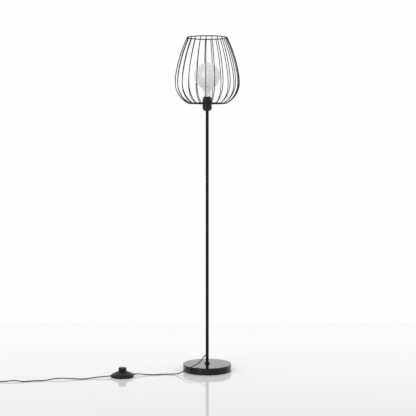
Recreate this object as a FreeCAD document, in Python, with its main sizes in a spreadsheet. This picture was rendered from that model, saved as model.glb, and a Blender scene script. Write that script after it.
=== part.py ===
"""Wire cage floor lamp: round base, three-part pole, lampholder, cage, globe bulb, foot switch and lead.

Millimetres, +Z up. The origin is on the floor under the pole's axis, and the front of the lamp faces -Y.
"""
import FreeCAD
import Part
import Sketcher
import math
import os
import re
from FreeCAD import Placement, Rotation, Vector

SIZES = {
    # base
    "base_diameter": 220,
    "base_height": 31,
    "cover_wall": 1.2,
    "cover_lift": 1.2,
    "cover_edge_round": 2.5,
    "weight_gap": 0.5,
    "weight_plate": 12,
    "weight_hub_diameter": 60,
    "weight_rim_width": 8,
    "weight_edge": 2,
    "weight_recess_diameter": 34,
    "weight_recess_depth": 9,
    "base_pad_diameter": 196,
    "base_pad_thickness": 2,
    "base_pad_hole": 44,
    "bolt_diameter": 8,
    "bolt_head_width": 15,
    "bolt_head_height": 5.3,
    "bolt_grip": 18,
    "bolt_clearance": 0.3,
    "washer_diameter": 24,
    "washer_thickness": 2,
    # pole
    "pole_diameter": 14,
    "pole_wall": 1,
    "tube_length": 380.5,
    "collar_diameter": 24,
    "collar_height": 5,
    "collar_round": 1.8,
    "insert_clearance": 0.05,
    "foot_insert_length": 25,
    "coupling_length": 44,
    "coupling_bore": 7,
    # lead where it leaves the pole
    "cord_diameter": 4.4,
    "cord_clearance": 0.15,
    "cord_exit_height": 69,
    "cord_exit_turn": 50,
    "cord_bend_radius": 5,
    "bush_flange_diameter": 9.4,
    "bush_flange_thickness": 1.6,
    "bush_flange_start": 4.1,
    "bush_diameter": 7.2,
    "bush_clearance": 0.1,
    # lampholder
    "holder_diameter": 42,
    "cap_height": 33,
    "cap_wall": 2,
    "cap_floor": 4,
    "cap_floor_diameter": 19,
    "cap_round": 14,
    "nipple_length": 29,
    "nipple_reach": 9,
    "shell_thread_diameter": 34.4,
    "shell_flange_height": 9,
    "shell_length": 36.5,
    "shell_gap": 0.2,
    "core_height": 10,
    "core_boss_height": 8,
    "core_gap": 1.5,
    "screw_shell_bore": 27,
    "screw_shell_wall": 0.6,
    "screw_shell_length": 25,
    "contact_diameter": 8,
    "contact_thickness": 1,
    "terminal_post_diameter": 5,
    "terminal_post_height": 6,
    "shade_ring_height": 27,
    "shade_ring_foot_inset": 0.4,
    "shade_ring_bulge": 42.8,
    "shade_ring_bulge_height": 8,
    "shade_ring_top": 36.4,
    "shade_ring_lip": 1.2,
    "shade_ring_edge": 0.8,
    "thread_clearance": 0.3,
    # cage
    "carrier_thickness": 2,
    "carrier_ring_diameter": 45,
    "spoke_count": 3,
    "ring_wire": 4.4,
    "rib_wire": 3.5,
    "rib_count": 23,
    "rib_phase": -2.6,
    "cage_height": 291.3,
    "cage_top_diameter": 178.5,
    "cage_bottom_diameter": 168.6,
    "belly_diameter": 287,
    "belly_height": 91.5,
    "lower_bend_radius": 99,
    "belly_radius": 275,
    "shoulder_radius": 600,
    "weld_gap": 0.02,
    # bulb
    "globe_diameter": 118,
    "globe_height": 122,
    "glass_wall": 0.9,
    "neck_diameter": 31,
    "neck_bend_radius": 30,
    "neck_in_cap": 3,
    "neck_lip": 0.5,
    "neck_flare": 3,
    "bulb_cap_diameter": 26.3,
    "bulb_cap_length": 27,
    "bulb_cap_wall": 0.5,
    "bulb_cap_floor": 9,
    "bulb_tip_diameter": 9.6,
    "bulb_tip_height": 1.2,
    "bulb_thread_start": 6.5,
    "bulb_thread_pitch": 3.6,
    "bulb_thread_depth": 0.5,
    "bulb_thread_turns": 5,
    "bulb_seat_gap": 0.3,
    # foot switch
    "switch_x": -374,
    "switch_y": -134,
    "switch_turn": 20,
    "switch_diameter": 100,
    "switch_wall": 2,
    "switch_rim_height": 8.5,
    "switch_shoulder_radius": 11.8,
    "switch_shoulder_diameter": 88,
    "switch_shoulder_height": 14.7,
    "switch_dome_height": 26.5,
    "switch_lip": 3.2,
    "switch_seat_diameter": 42,
    "switch_lift": 1,
    "switch_cover_lift": 1.3,
    "switch_plate_thickness": 2.5,
    "switch_plate_gap": 0.2,
    "switch_exit_height": 8,
    "button_diameter": 35,
    "button_top": 41.5,
    "button_round": 1.8,
    "button_gap": 0.5,
    "button_flange_diameter": 40,
    "button_flange_thickness": 2,
    "button_skirt_bottom": 12,
    "button_wall": 3,
    "button_boss_diameter": 19,
    "button_boss_bottom": 22,
    "moving_gap": 0.3,
    "spring_diameter": 16,
    "spring_wire": 1.2,
    "spring_turns": 5,
    "post_diameter": 7,
    "post_height": 14.3,
    "post_place": 33,
    "screw_diameter": 2.9,
    "screw_clearance": 0.2,
    "screw_head_diameter": 5.6,
    "screw_head_height": 1.7,
    "screw_length": 12,
    "foot_pad_diameter": 12,
    "terminal_length": 8,
    "terminal_width": 10,
    "terminal_height": 7,
    "terminal_place": 32,
    "strip_width": 4,
    "strip_thickness": 1,
    "strip_reach": 11,
    "relief_inside": 12,
    "relief_outside": 10,
    "relief_diameter": 7.4,
    "relief_tail_diameter": 5.4,
    "relief_collar_diameter": 8.8,
    "relief_collar_width": 4,
    "relief_collar_inset": 8,
    # coil, tie and plug
    "coil_x": -966,
    "coil_y": -214,
    "coil_outer_radius": 33,
    "coil_pitch": 5,
    "coil_turns_a_layer": 3,
    "coil_height": 3.2,
    "tie_thickness": 0.5,
    "tie_gap": 0.4,
    "tie_width": 5,
    "plug_relief_length": 28,
    "plug_relief_diameter": 9.6,
    "plug_relief_tail": 5.2,
    "plug_length": 36,
    "plug_width": 35,
    "plug_face_depth": 7,
    "plug_waist": 25,
    "plug_tail_width": 15,
    "plug_thickness": 15,
    "plug_edge_round": 2.5,
    "pin_diameter": 4,
    "pin_length": 19,
    "pin_spacing": 18.6,
}

# The lead's route from the pole to the foot switch. The sizes set where it starts and ends.
TO_SWITCH_ROUTE = [
    (-15.4, -18.4, 66),
    (-21.2, -25.3, 58.5),
    (-28.5, -35, 50),
    (-38, -48, 43),
    (-49.5, -65, 38.5),
    (-62, -84, 38),
    (-78, -103, 33.5),
    (-97, -112, 24.5),
    (-117, -109, 12),
    (-137, -94, 3.8),
    (-164, -90, 2.5),
    (-200, -94, 2.5),
    (-232, -105, 2.5),
    (-260, -103, 2.7),
    (-283, -106, 5.2),
]

# The lead's route from the foot switch to the coil. The sizes set where it starts and ends.
TO_PLUG_ROUTE = [
    (-474, -163, 6),
    (-501, -171, 4.5),
    (-527, -185, 3),
    (-556, -190, 2.5),
    (-592, -190, 5),
    (-631, -194, 8),
    (-669, -200, 6.5),
    (-708, -220, 2.5),
    (-756, -221, 2.5),
    (-794, -242, 2.5),
    (-833, -229, 6.5),
    (-869, -244, 4.5),
    (-904, -240, 2.6),
]
POLE_RUN = 7
RELIEF_RUN = 16
COIL_RUN = 24
BEND_SHARE = 0.45

# Places that several pieces share.
POLE_TOP = "(base_height + 3 * tube_length)"
TUBE_BORE = "(pole_diameter / 2 - pole_wall)"
INSERT_RADIUS = "(pole_diameter / 2 - pole_wall - insert_clearance)"
COVER_UNDERSIDE = "(base_height - cover_wall)"
WASHER_TOP = "(base_pad_thickness + weight_recess_depth)"
BUSH_FACE = "(pole_diameter / 2 + bush_flange_thickness)"
CARRIER_BOTTOM = f"({POLE_TOP} + cap_height)"
CARRIER_TOP = f"({CARRIER_BOTTOM} + carrier_thickness)"
SHELL_BOTTOM = f"({CARRIER_BOTTOM} - shell_flange_height)"
SHELL_BORE = "(screw_shell_bore / 2 + screw_shell_wall + thread_clearance)"
CORE_TOP = f"({SHELL_BOTTOM} + core_boss_height)"
BOTTOM_RING = f"({CARRIER_BOTTOM} + carrier_thickness / 2)"
TOP_RING = f"({BOTTOM_RING} + cage_height)"
BELLY = f"({BOTTOM_RING} + belly_height)"
BULB_BOTTOM = f"({CORE_TOP} + contact_thickness + bulb_seat_gap)"
BULB_CAP_TOP = f"({BULB_BOTTOM} + bulb_cap_length)"
GLOBE_CENTRE = f"({BULB_BOTTOM} + globe_height)"
SWITCH_FLOOR = "(switch_lift + switch_plate_thickness)"
FLANGE_TOP = "(switch_dome_height - switch_lip - moving_gap)"
COIL_TOP = "(coil_height + coil_pitch)"
SCREW_ANGLES = (90, 210, 330)
FOOT_ANGLES = (30, 150, 270)

doc = FreeCAD.newDocument("wire_cage_floor_lamp")
sheet = doc.addObject("Spreadsheet::Sheet", "Sizes")
for row, (alias, number) in enumerate(SIZES.items(), start=1):
    sheet.set(f"A{row}", alias)
    sheet.set(f"B{row}", str(number))
    sheet.setAlias(f"B{row}", alias)
doc.recompute()

nodes = []


def bound(text):
    """The text as an expression on the sheet: the sheet's name goes in front of each size's name."""
    return re.sub(r"[a-z]\w+", lambda word: "Sizes." + word[0] if word[0] in SIZES else word[0], str(text))


def value(text):
    """What an expression is worth now."""
    return float(sheet.evalExpression(bound(text)))


def spot(x, y, z):
    """The point whose coordinates are three expressions."""
    return Vector(value(x), value(y), value(z))


def bind(thing, **ties):
    """Tie properties to expressions. A double underscore stands for the dot in a property's path."""
    for path, text in ties.items():
        thing.setExpression(path.replace("__", "."), bound(text))


def place(thing, x="0", y="0", z="0", axis=(0, 0, 1), turn="0"):
    """Turn an object about an axis, and move it to x, y, z."""
    thing.Placement = Placement(spot(x, y, z), Rotation(Vector(*axis), value(turn)))
    bind(thing, Placement__Base__x=x, Placement__Base__y=y, Placement__Base__z=z)
    bind(thing, Placement__Rotation__Angle=turn)
    return thing


def node(thing, name):
    """Keep a finished object as one of the lamp's sub-parts."""
    thing.Label = name
    nodes.append(thing)
    return thing


# ---------------------------------------------------------------- plain solids and what joins them

def cylinder(name, radius, height, x="0", y="0", z="0", axis=(0, 0, 1), turn="0"):
    thing = doc.addObject("Part::Cylinder", name)
    bind(thing, Radius=radius, Height=height)
    return place(thing, x, y, z, axis, turn)


def cone(name, first, last, height, x="0", y="0", z="0", axis=(0, 0, 1), turn="0"):
    thing = doc.addObject("Part::Cone", name)
    bind(thing, Radius1=first, Radius2=last, Height=height)
    return place(thing, x, y, z, axis, turn)


def block(name, length, width, height, x, z):
    """A box whose lowest face is centred on x, 0, z."""
    thing = doc.addObject("Part::Box", name)
    bind(thing, Length=length, Width=width, Height=height)
    return place(thing, f"{x} - {length} / 2", f"-{width} / 2", z)


def cut(name, base, tool):
    thing = doc.addObject("Part::Cut", name)
    thing.Base = base
    thing.Tool = tool
    return thing


def fuse(name, *pieces):
    thing = doc.addObject("Part::MultiFuse", name)
    thing.Shapes = list(pieces)
    return thing


def group(name, pieces):
    """Separate solids that share one node."""
    thing = doc.addObject("Part::Compound", name)
    thing.Links = pieces
    return thing


def ring(name, outer, inner, height, z):
    """A plain ring about the Z axis."""
    outside = cylinder(f"{name}_outside", outer, height, z=z)
    bore = cylinder(f"{name}_bore", inner, height, z=z)
    return cut(name, outside, bore)


# ---------------------------------------------------------------- solids made from sketches

def new_body(name):
    body = doc.addObject("PartDesign::Body", name)
    body.AllowCompound = True
    return body


def new_sketch(body, name, plane, lift="0"):
    """A sketch on one of the body's own planes, lifted along that plane's normal."""
    sketch = body.newObject("Sketcher::SketchObject", f"{body.Name}_{name}")
    support = next(part for part in body.Origin.OriginFeatures if part.Role == plane)
    sketch.AttachmentSupport = [(support, "")]
    sketch.MapMode = "FlatFace"
    bind(sketch, AttachmentOffset__Base__z=lift)
    return sketch


def hold(sketch, geometry, end, x, y):
    """Hold one point of a sketch at x, y."""
    for kind, text, axis in (("DistanceX", x, -2), ("DistanceY", y, -1)):
        if value(text) == 0:
            sketch.addConstraint(Sketcher.Constraint("PointOnObject", geometry, end, axis))
        else:
            index = sketch.addConstraint(Sketcher.Constraint(kind, -1, 1, geometry, end, value(text)))
            sketch.setExpression(f"Constraints[{index}]", bound(text))


def hold_radius(sketch, geometry, radius):
    index = sketch.addConstraint(Sketcher.Constraint("Radius", geometry, value(radius)))
    sketch.setExpression(f"Constraints[{index}]", bound(radius))


def circle(sketch, radius, x="0", y="0"):
    """A circle about x, y."""
    centre = Vector(value(x), value(y), 0)
    index = sketch.addGeometry(Part.Circle(centre, Vector(0, 0, 1), value(radius)))
    hold_radius(sketch, index, radius)
    if value(x) == 0 and value(y) == 0:
        sketch.addConstraint(Sketcher.Constraint("Coincident", index, 3, -1, 1))
    else:
        hold(sketch, index, 3, x, y)


def arc_between(start, end, radius, left):
    """The arc under a half circle from start to end, bulging to the left or right of the way there."""
    chord = end - start
    reach = math.sqrt(radius ** 2 - (chord.Length / 2) ** 2)
    across = Vector(-chord.y, chord.x, 0).normalize()
    centre = (start + end) / 2 + across * (-reach if left else reach)
    angles = [math.atan2(point.y - centre.y, point.x - centre.x) for point in (end, start)]
    if not left:
        angles.reverse()
    if angles[1] < angles[0]:
        angles[1] += 2 * math.pi
    return Part.ArcOfCircle(Part.Circle(centre, Vector(0, 0, 1), radius), angles[0], angles[1])


def outline(sketch, corners):
    """A closed outline. A corner is x, y and, where an arc leaves it, a radius and the arc's side."""
    spots = [Vector(value(corner[0]), value(corner[1]), 0) for corner in corners]
    starts = []
    ends = []
    for number, corner in enumerate(corners):
        start = spots[number]
        end = spots[(number + 1) % len(spots)]
        if len(corner) == 2:
            index = sketch.addGeometry(Part.LineSegment(start, end))
            starts.append((index, 1))
            ends.append((index, 2))
        else:
            left = corner[3] == "left"
            index = sketch.addGeometry(arc_between(start, end, value(corner[2]), left))
            starts.append((index, 2 if left else 1))
            ends.append((index, 1 if left else 2))
            hold_radius(sketch, index, corner[2])
    for number, corner in enumerate(corners):
        sketch.addConstraint(Sketcher.Constraint("Coincident", *ends[number - 1], *starts[number]))
        hold(sketch, *starts[number], corner[0], corner[1])


def rounded_box(sketch, left, right, bottom, top, radius):
    """A closed rectangle with rounded corners."""
    outline(sketch, [
        (f"{left} + {radius}", bottom),
        (f"{right} - {radius}", bottom, radius, "right"),
        (right, f"{bottom} + {radius}"),
        (right, f"{top} - {radius}", radius, "right"),
        (f"{right} - {radius}", top),
        (f"{left} + {radius}", top, radius, "right"),
        (left, f"{top} - {radius}"),
        (left, f"{bottom} + {radius}", radius, "right"),
    ])


def revolve(body, corners):
    """Turn an outline of radius and height about the body's Z axis."""
    sketch = new_sketch(body, "profile", "XZ_Plane")
    outline(sketch, corners)
    feature = body.newObject("PartDesign::Revolution", f"{body.Name}_turned")
    feature.Profile = sketch
    feature.ReferenceAxis = (sketch, ["V_Axis"])
    feature.Angle = 360
    return feature


def turned(name, corners):
    """A turned sub-part with one outline."""
    body = new_body(name)
    revolve(body, corners)
    return node(body, name)


def pad(body, name, sketch, length, symmetric=False):
    feature = body.newObject("PartDesign::Pad", f"{body.Name}_{name}")
    feature.Profile = sketch
    feature.SideType = "Symmetric" if symmetric else "One side"
    bind(feature, Length=length)
    return feature


def pocket(body, name, sketch, length, symmetric=False, reverse=False):
    """A pocket that must take something away."""
    doc.recompute()
    before = body.Shape.Volume
    feature = body.newObject("PartDesign::Pocket", f"{body.Name}_{name}")
    feature.Profile = sketch
    feature.SideType = "Symmetric" if symmetric else "One side"
    feature.Reversed = reverse
    bind(feature, Length=length)
    doc.recompute()
    if not body.Shape.Volume < before:
        raise RuntimeError(f"{feature.Name} cut nothing")
    return feature


# ---------------------------------------------------------------- base

def base_cover():
    """Pressed steel cover: flat top, rolled edge, open underside."""
    inside = "(base_diameter / 2 - cover_wall)"
    hole = "(bolt_diameter / 2 + bolt_clearance)"
    inner_round = "(cover_edge_round - cover_wall)"
    turned("base_cover", [
        (hole, "base_height"),
        ("base_diameter / 2 - cover_edge_round", "base_height", "cover_edge_round", "left"),
        ("base_diameter / 2", "base_height - cover_edge_round"),
        ("base_diameter / 2", "cover_lift"),
        (inside, "cover_lift"),
        (inside, f"{COVER_UNDERSIDE} - {inner_round}", inner_round, "right"),
        (f"{inside} - {inner_round}", COVER_UNDERSIDE),
        (hole, COVER_UNDERSIDE),
    ])


def base_weight():
    """Cast iron disc with a raised hub and rim that the cover rests on, and a recess for the bolt's head."""
    edge = "(base_diameter / 2 - cover_wall - weight_gap)"
    hole = "(bolt_diameter / 2 + bolt_clearance)"
    plate_top = "(base_pad_thickness + weight_plate)"
    turned("base_weight", [
        ("weight_recess_diameter / 2", "base_pad_thickness"),
        (edge, "base_pad_thickness"),
        (edge, f"{COVER_UNDERSIDE} - weight_edge"),
        (f"{edge} - weight_edge", COVER_UNDERSIDE),
        (f"{edge} - weight_rim_width", COVER_UNDERSIDE),
        (f"{edge} - weight_rim_width", plate_top),
        ("weight_hub_diameter / 2", plate_top),
        ("weight_hub_diameter / 2", COVER_UNDERSIDE),
        (hole, COVER_UNDERSIDE),
        (hole, WASHER_TOP),
        ("weight_recess_diameter / 2", WASHER_TOP),
    ])


def base_pad():
    """Soft ring under the weight, which the lamp stands on."""
    pad_ring = ring("base_pad_ring", "base_pad_diameter / 2", "base_pad_hole / 2", "base_pad_thickness", "0")
    node(pad_ring, "base_pad")


def base_fasteners():
    """The hexagon bolt that pulls the pole down on the base, and its washer."""
    head_bottom = f"({WASHER_TOP} - washer_thickness - bolt_head_height)"
    head = doc.addObject("Part::Prism", "bolt_head")
    head.Polygon = 6
    bind(head, Circumradius="bolt_head_width / 2", Height="bolt_head_height")
    place(head, z=head_bottom)
    shank_length = f"base_height + bolt_grip - {head_bottom}"
    bolt = fuse("bolt", head, cylinder("bolt_shank", "bolt_diameter / 2", shank_length, z=head_bottom))
    washer_bore = "bolt_diameter / 2 + bolt_clearance"
    washer_bottom = f"{WASHER_TOP} - washer_thickness"
    washer = ring("washer", "washer_diameter / 2", washer_bore, "washer_thickness", washer_bottom)
    node(group("base_bolt_and_washer", [bolt, washer]), "base_fasteners")


# ---------------------------------------------------------------- pole

def pole_collar():
    """Turned ring that hides the joint between the pole's foot and the base."""
    bore = "(pole_diameter / 2 + insert_clearance)"
    top = "(base_height + collar_height)"
    turned("pole_collar", [
        (bore, "base_height"),
        ("collar_diameter / 2", "base_height"),
        ("collar_diameter / 2", f"{top} - collar_round", "collar_round", "right"),
        ("collar_diameter / 2 - collar_round", top),
        (bore, top),
    ])


def pole_tube(name, number):
    """One of the pole's three equal tubes, counted from the base."""
    bottom = f"(base_height + {number} * tube_length)"
    body = new_body(name)
    revolve(body, [
        (TUBE_BORE, bottom),
        ("pole_diameter / 2", bottom),
        ("pole_diameter / 2", f"{bottom} + tube_length"),
        (TUBE_BORE, f"{bottom} + tube_length"),
    ])
    return node(body, name)


def pole():
    """The tubes; the lowest has the hole that the lead leaves by."""
    lower = pole_tube("lower_tube", 0)
    hole = new_sketch(lower, "lead_hole", "YZ_Plane")
    circle(hole, "bush_diameter / 2 + bush_clearance", y="cord_exit_height")
    pocket(lower, "lead_pocket", hole, "pole_diameter")
    place(lower, turn="cord_exit_turn")
    pole_tube("middle_tube", 1)
    pole_tube("upper_tube", 2)


def tube_inserts():
    """The threaded plug in the pole's foot, and the two sleeves that couple the tubes."""
    foot_bore = "bolt_diameter / 2 + insert_clearance"
    pieces = [ring("foot_insert", INSERT_RADIUS, foot_bore, "foot_insert_length", "base_height")]
    for number in (1, 2):
        bottom = f"base_height + {number} * tube_length - coupling_length / 2"
        sleeve = ring(f"coupling_{number}", INSERT_RADIUS, "coupling_bore / 2", "coupling_length", bottom)
        pieces.append(sleeve)
    node(group("tube_insert_group", pieces), "tube_inserts")


def cord_bush():
    """Grommet in the side of the pole: a plug through the wall and a flange shaped to the tube."""
    back = (0, 1, 0)
    flange_length = f"{BUSH_FACE} - bush_flange_start"
    flange = cylinder("bush_flange", "bush_flange_diameter / 2", flange_length, x="-bush_flange_start",
                      z="cord_exit_height", axis=back, turn="-90")
    tube = cylinder("bush_tube_space", "pole_diameter / 2 + insert_clearance", "2 * bush_flange_diameter",
                    z="cord_exit_height - bush_flange_diameter")
    stem_start = f"({TUBE_BORE} - pole_wall)"
    stem = cylinder("bush_stem", "bush_diameter / 2", f"{BUSH_FACE} - {stem_start}", x=f"-{stem_start}",
                    z="cord_exit_height", axis=back, turn="-90")
    bore = cylinder("bush_bore", "cord_diameter / 2 + cord_clearance", "pole_diameter",
                    z="cord_exit_height", axis=back, turn="-90")
    outside = fuse("bush_outside", cut("bush_saddle", flange, tube), stem)
    node(place(cut("bush", outside, bore), turn="cord_exit_turn"), "cord_bush")


# ---------------------------------------------------------------- lampholder

def holder_nipple():
    """Hollow threaded nipple that joins the pole's top and the lampholder."""
    bottom = f"{POLE_TOP} + nipple_reach - nipple_length"
    nipple = ring("nipple", INSERT_RADIUS, "coupling_bore / 2", "nipple_length", bottom)
    node(nipple, "holder_nipple")


def holder_cap():
    """Lower cup of the lampholder, rounded down to the pole."""
    outer = "holder_diameter / 2"
    inner = "(holder_diameter / 2 - cap_wall)"
    floor = f"({POLE_TOP} + cap_floor)"
    shoulder = "(holder_diameter / 2 - cap_floor_diameter / 2)"
    turned("holder_cap", [
        (TUBE_BORE, POLE_TOP),
        ("cap_floor_diameter / 2", POLE_TOP, "cap_round", "right"),
        (outer, f"{POLE_TOP} + {shoulder}"),
        (outer, CARRIER_BOTTOM),
        (inner, CARRIER_BOTTOM),
        (inner, f"{POLE_TOP} + {shoulder}"),
        ("cap_floor_diameter / 2", floor),
        (TUBE_BORE, floor),
    ])


def holder_core():
    """Insulating core with a boss that carries the screw shell and the contacts."""
    bottom = f"({SHELL_BOTTOM} - core_height)"
    wide = "(holder_diameter / 2 - cap_wall - core_gap)"
    boss = f"({SHELL_BORE} - shell_gap)"
    turned("holder_core", [
        ("0", bottom),
        (wide, bottom),
        (wide, SHELL_BOTTOM),
        (boss, SHELL_BOTTOM),
        (boss, CORE_TOP),
        ("0", CORE_TOP),
    ])


def holder_contacts():
    """Centre contact on the core, and the two terminal posts below it."""
    centre = cylinder("centre_contact", "contact_diameter / 2", "contact_thickness", z=CORE_TOP)
    pieces = [centre]
    for side, number in (("-", 1), ("", 2)):
        post_bottom = f"{SHELL_BOTTOM} - core_height - terminal_post_height"
        post = cylinder(f"terminal_post_{number}", "terminal_post_diameter / 2", "terminal_post_height",
                        x=f"{side}holder_diameter / 4", z=post_bottom)
        pieces.append(post)
    node(group("holder_contact_group", pieces), "holder_contacts")


def screw_shell():
    """Brass sleeve that the bulb screws into."""
    bore = "screw_shell_bore / 2"
    shell = ring("screw_shell_sleeve", f"{bore} + screw_shell_wall", bore, "screw_shell_length", CORE_TOP)
    node(shell, "screw_shell")


def holder_shell():
    """Threaded upper body of the lampholder: its flange lies under the cage's carrier."""
    thread = "shell_thread_diameter / 2"
    flange = "(holder_diameter / 2 - cap_wall - shell_gap)"
    top = f"({SHELL_BOTTOM} + shell_length)"
    turned("holder_shell", [
        (SHELL_BORE, SHELL_BOTTOM),
        (flange, SHELL_BOTTOM),
        (flange, CARRIER_BOTTOM),
        (thread, CARRIER_BOTTOM),
        (thread, top),
        (SHELL_BORE, top),
    ])


def shade_ring():
    """Tall conical ring nut that clamps the cage's carrier on the lampholder."""
    bore = "(shell_thread_diameter / 2 + thread_clearance)"
    top = f"({CARRIER_TOP} + shade_ring_height)"
    lip = f"({SHELL_BORE} + shell_gap)"
    turned("shade_ring", [
        (bore, CARRIER_TOP),
        ("holder_diameter / 2 - shade_ring_foot_inset", CARRIER_TOP),
        ("shade_ring_bulge / 2", f"{CARRIER_TOP} + shade_ring_bulge_height"),
        ("shade_ring_top / 2", f"{top} - shade_ring_edge"),
        ("shade_ring_top / 2 - shade_ring_edge", top),
        (lip, top),
        (lip, f"{top} - shade_ring_lip"),
        (bore, f"{top} - shade_ring_lip"),
    ])


# ---------------------------------------------------------------- cage

def cage_ring(name, diameter, height):
    thing = doc.addObject("Part::Torus", name)
    bind(thing, Radius1=f"{diameter} / 2", Radius2="ring_wire / 2")
    node(place(thing, z=height), name)


def weld_groove(body, rings):
    """Cut the ends of the wires to the round of the rings they are welded to."""
    sketch = new_sketch(body, "weld_profile", "XZ_Plane")
    for diameter, height in rings:
        circle(sketch, "ring_wire / 2 + weld_gap", f"{diameter} / 2", height)
    doc.recompute()
    before = body.Shape.Volume
    groove = body.newObject("PartDesign::Groove", f"{body.Name}_weld_seats")
    groove.Profile = sketch
    groove.ReferenceAxis = (sketch, ["V_Axis"])
    groove.Angle = 360
    doc.recompute()
    if not body.Shape.Volume < before:
        raise RuntimeError(f"{groove.Name} cut nothing")


def cage_carrier():
    """Flat ring clamped in the lampholder, with wire spokes out to the bottom ring."""
    body = new_body("cage_carrier")
    flat = new_sketch(body, "flat_ring", "XY_Plane", CARRIER_BOTTOM)
    circle(flat, "carrier_ring_diameter / 2")
    circle(flat, "shell_thread_diameter / 2 + thread_clearance")
    pad(body, "ring_pad", flat, "carrier_thickness")
    start = "(carrier_ring_diameter / 2 - carrier_thickness / 4)"
    section = new_sketch(body, "spoke_section", "YZ_Plane", start)
    circle(section, "rib_wire / 2", y=BOTTOM_RING)
    spoke = pad(body, "spoke", section, f"cage_bottom_diameter / 2 - {start}")
    pattern = body.newObject("PartDesign::PolarPattern", "cage_carrier_spokes")
    pattern.Originals = [spoke]
    pattern.Axis = (flat, ["N_Axis"])
    pattern.Angle = 360
    bind(pattern, Occurrences="spoke_count")
    body.Tip = pattern
    weld_groove(body, [("cage_bottom_diameter", BOTTOM_RING)])
    place(body, turn="90")
    node(body, "cage_carrier")


def rib_path(sketch):
    """A rib's centre line: straight from the bottom ring, then three arcs that run into each other."""
    foot = Vector(value("cage_bottom_diameter / 2"), value(BOTTOM_RING), 0)
    head = Vector(value("cage_top_diameter / 2"), value(TOP_RING), 0)
    lower, belly, shoulder = (value(name) for name in ("lower_bend_radius", "belly_radius", "shoulder_radius"))
    widest = Vector(value("belly_diameter / 2"), value(BELLY), 0)
    lower_centre = widest - Vector(lower, 0, 0)
    belly_centre = widest - Vector(belly, 0, 0)
    to_foot = foot - lower_centre
    touch = math.atan2(to_foot.y, to_foot.x) + math.acos(lower / to_foot.Length)
    to_head = head - belly_centre
    step = shoulder - belly
    along = (shoulder ** 2 - step ** 2 - to_head.Length ** 2) / (2 * step * to_head.Length)
    join = math.atan2(to_head.y, to_head.x) - math.acos(along)
    shoulder_centre = belly_centre - Vector(math.cos(join), math.sin(join), 0) * step
    end = math.atan2(head.y - shoulder_centre.y, head.x - shoulder_centre.x)
    up = Vector(0, 0, 1)
    touch_point = lower_centre + Vector(math.cos(touch), math.sin(touch), 0) * lower
    sketch.addGeometry(Part.LineSegment(foot, touch_point))
    sketch.addGeometry(Part.ArcOfCircle(Part.Circle(lower_centre, up, lower), touch, 0))
    sketch.addGeometry(Part.ArcOfCircle(Part.Circle(belly_centre, up, belly), 0, join))
    sketch.addGeometry(Part.ArcOfCircle(Part.Circle(shoulder_centre, up, shoulder), join, end))
    hold(sketch, 0, 1, "cage_bottom_diameter / 2", BOTTOM_RING)
    for first in (0, 1, 2):
        sketch.addConstraint(Sketcher.Constraint("Tangent", first, 2, first + 1, 1))
    hold(sketch, 1, 3, "belly_diameter / 2 - lower_bend_radius", BELLY)
    sketch.addConstraint(Sketcher.Constraint("Horizontal", 1, 3, 2, 3))
    for geometry, radius in ((1, "lower_bend_radius"), (2, "belly_radius"), (3, "shoulder_radius")):
        hold_radius(sketch, geometry, radius)
    hold(sketch, 3, 2, "cage_top_diameter / 2", TOP_RING)


def rib(number):
    """One of the cage's bent wires, welded between the rings."""
    name = f"rib_{number + 1:02d}"
    body = new_body(name)
    path = new_sketch(body, "path", "XZ_Plane")
    rib_path(path)
    section = body.newObject("Sketcher::SketchObject", f"{name}_section")
    section.AttachmentSupport = [(path, "Edge1")]
    section.MapMode = "NormalToEdge"
    circle(section, "rib_wire / 2")
    pipe = body.newObject("PartDesign::AdditivePipe", f"{name}_wire")
    pipe.Profile = section
    pipe.Spine = path
    weld_groove(body, [("cage_bottom_diameter", BOTTOM_RING), ("cage_top_diameter", TOP_RING)])
    place(body, turn=f"rib_phase - 90 + {number} * 360 / rib_count")
    node(body, name)


# ---------------------------------------------------------------- bulb

def bulb_globe():
    """Opal glass globe, drawn in to a neck whose rim sits in the cap."""
    centres = "sqrt((globe_diameter / 2 + neck_bend_radius)^2 - (neck_diameter / 2 + neck_bend_radius)^2)"
    share = "(globe_diameter / 2 / (globe_diameter / 2 + neck_bend_radius))"
    inside = "(globe_diameter / 2 - glass_wall)"
    inner_share = f"({inside} / (globe_diameter / 2 + neck_bend_radius))"
    across = "(neck_diameter / 2 + neck_bend_radius)"
    neck = "neck_diameter / 2"
    rim = "(bulb_cap_diameter / 2 - bulb_thread_depth - bulb_cap_wall - insert_clearance)"
    rim_bottom = f"({BULB_CAP_TOP} - neck_in_cap)"
    flare_start = f"({BULB_CAP_TOP} + neck_lip)"
    flare_end = f"({flare_start} + neck_flare)"
    turned("bulb_globe", [
        (rim, rim_bottom),
        (rim, flare_start),
        (neck, flare_end),
        (neck, f"{GLOBE_CENTRE} - {centres}", "neck_bend_radius", "left"),
        (f"{across} * {share}", f"{GLOBE_CENTRE} - {centres} * {share}", "globe_diameter / 2", "right"),
        ("0", f"{GLOBE_CENTRE} + globe_diameter / 2"),
        ("0", f"{GLOBE_CENTRE} + {inside}", inside, "left"),
        (f"{across} * {inner_share}", f"{GLOBE_CENTRE} - {centres} * {inner_share}",
         "neck_bend_radius + glass_wall", "right"),
        (f"{neck} - glass_wall", f"{GLOBE_CENTRE} - {centres}"),
        (f"{neck} - glass_wall", flare_end),
        (f"{rim} - glass_wall", flare_start),
        (f"{rim} - glass_wall", rim_bottom),
    ])


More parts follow.
